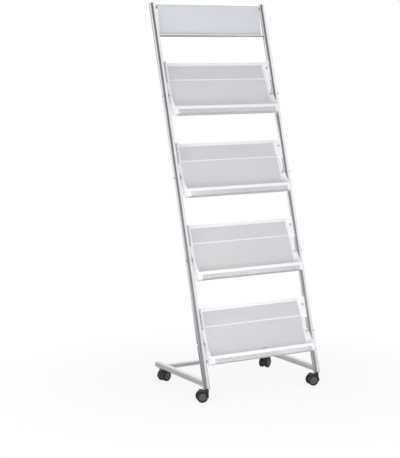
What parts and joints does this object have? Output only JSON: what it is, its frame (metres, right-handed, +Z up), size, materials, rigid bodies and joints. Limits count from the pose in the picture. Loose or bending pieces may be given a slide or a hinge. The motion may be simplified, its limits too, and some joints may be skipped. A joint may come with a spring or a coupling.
{
  "type": "periodical display rack",
  "caption": "Leaning display rack for periodicals: chromed tube frame on swivel casters, bent perforated steel shelves with front lips, and a header panel.",
  "frame": {"origin": "on the floor, midway between the four caster stems", "axes": "+Z up; +Y back, the way the rack leans; +X to the right of someone who faces the shelves"},
  "size_m": [0.5358, 0.4212, 1.4224],
  "materials": {
    "chromed_tube": "bright chrome on steel tube",
    "coated_sheet": "satin silver-white powder coat",
    "silver_panel": "satin silver powder coat",
    "zinc_steel": "zinc-plated",
    "dark_plastic": "moulded nylon, fine grain",
    "light_plastic": "moulded light-grey nylon",
    "tread": "soft black tread"
  },
  "bodies": {
    "root": {"left_upright": "chromed_tube", "left_foot_tube": "chromed_tube", "right_upright": "chromed_tube", "right_foot_tube": "chromed_tube", "rear_crossbar": "chromed_tube", "header_lower_rail": "chromed_tube", "header_upper_rail": "chromed_tube", "upright_top_caps": "chromed_tube", "foot_end_caps": "light_plastic", "front_stem_sockets": "dark_plastic", "rear_stem_bushes": "dark_plastic", "header_panel": "silver_panel", "shelf_1": "coated_sheet", "shelf_2": "coated_sheet", "shelf_3": "coated_sheet", "shelf_4": "coated_sheet", "shelf_bolts": "zinc_steel", "shelf_nuts": "zinc_steel", "shelf_screws": "zinc_steel", "shelf_spacers": "dark_plastic", "front_left_stem": "zinc_steel", "front_right_stem": "zinc_steel", "rear_left_stem": "zinc_steel", "rear_right_stem": "zinc_steel"},
    "front_left_caster": {"front_left_hood": "dark_plastic", "front_left_axle": "zinc_steel"},
    "front_left_wheel_1": {"front_left_wheel_1_tyre": "tread", "front_left_wheel_1_hub": "light_plastic", "front_left_wheel_1_cap": "dark_plastic"},
    "front_left_wheel_2": {"front_left_wheel_2_tyre": "tread", "front_left_wheel_2_hub": "light_plastic", "front_left_wheel_2_cap": "dark_plastic"},
    "front_right_caster": {"front_right_hood": "dark_plastic", "front_right_axle": "zinc_steel"},
    "front_right_wheel_1": {"front_right_wheel_1_tyre": "tread", "front_right_wheel_1_hub": "light_plastic", "front_right_wheel_1_cap": "dark_plastic"},
    "front_right_wheel_2": {"front_right_wheel_2_tyre": "tread", "front_right_wheel_2_hub": "light_plastic", "front_right_wheel_2_cap": "dark_plastic"},
    "rear_left_caster": {"rear_left_hood": "dark_plastic", "rear_left_axle": "zinc_steel"},
    "rear_left_wheel_1": {"rear_left_wheel_1_tyre": "tread", "rear_left_wheel_1_hub": "light_plastic", "rear_left_wheel_1_cap": "dark_plastic"},
    "rear_left_wheel_2": {"rear_left_wheel_2_tyre": "tread", "rear_left_wheel_2_hub": "light_plastic", "rear_left_wheel_2_cap": "dark_plastic"},
    "rear_right_caster": {"rear_right_hood": "dark_plastic", "rear_right_axle": "zinc_steel"},
    "rear_right_wheel_1": {"rear_right_wheel_1_tyre": "tread", "rear_right_wheel_1_hub": "light_plastic", "rear_right_wheel_1_cap": "dark_plastic"},
    "rear_right_wheel_2": {"rear_right_wheel_2_tyre": "tread", "rear_right_wheel_2_hub": "light_plastic", "rear_right_wheel_2_cap": "dark_plastic"}
  },
  "joints": [
    {"name": "front_left_swivel", "type": "hinge", "parent": "root", "child": "front_left_caster", "pos_m": [-0.24, -0.169, 0], "axis": [0, 0, 1], "continuous": true},
    {"name": "front_left_wheel_1_spin", "type": "hinge", "parent": "front_left_caster", "child": "front_left_wheel_1", "pos_m": [-0.25712, -0.16344, 0.02], "axis": [-0.309, -0.9511, 0], "continuous": true},
    {"name": "front_left_wheel_2_spin", "type": "hinge", "parent": "front_left_caster", "child": "front_left_wheel_2", "pos_m": [-0.25712, -0.16344, 0.02], "axis": [-0.309, -0.9511, 0], "continuous": true},
    {"name": "front_right_swivel", "type": "hinge", "parent": "root", "child": "front_right_caster", "pos_m": [0.24, -0.169, 0], "axis": [0, 0, 1], "continuous": true},
    {"name": "front_right_wheel_1_spin", "type": "hinge", "parent": "front_right_caster", "child": "front_right_wheel_1", "pos_m": [0.22227, -0.16587, 0.02], "axis": [-0.1736, -0.9848, 0], "continuous": true},
    {"name": "front_right_wheel_2_spin", "type": "hinge", "parent": "front_right_caster", "child": "front_right_wheel_2", "pos_m": [0.22227, -0.16587, 0.02], "axis": [-0.1736, -0.9848, 0], "continuous": true},
    {"name": "rear_left_swivel", "type": "hinge", "parent": "root", "child": "rear_left_caster", "pos_m": [-0.24, 0.169, 0], "axis": [0, 0, 1], "continuous": true},
    {"name": "rear_left_wheel_1_spin", "type": "hinge", "parent": "rear_left_caster", "child": "rear_left_wheel_1", "pos_m": [-0.22288, 0.17456, 0.02], "axis": [-0.309, 0.9511, 0], "continuous": true},
    {"name": "rear_left_wheel_2_spin", "type": "hinge", "parent": "rear_left_caster", "child": "rear_left_wheel_2", "pos_m": [-0.22288, 0.17456, 0.02], "axis": [-0.309, 0.9511, 0], "continuous": true},
    {"name": "rear_right_swivel", "type": "hinge", "parent": "root", "child": "rear_right_caster", "pos_m": [0.24, 0.169, 0], "axis": [0, 0, 1], "continuous": true},
    {"name": "rear_right_wheel_1_spin", "type": "hinge", "parent": "rear_right_caster", "child": "rear_right_wheel_1", "pos_m": [0.22441, 0.16, 0.02], "axis": [0.5, -0.866, 0], "continuous": true},
    {"name": "rear_right_wheel_2_spin", "type": "hinge", "parent": "rear_right_caster", "child": "rear_right_wheel_2", "pos_m": [0.22441, 0.16, 0.02], "axis": [0.5, -0.866, 0], "continuous": true}
  ]
}
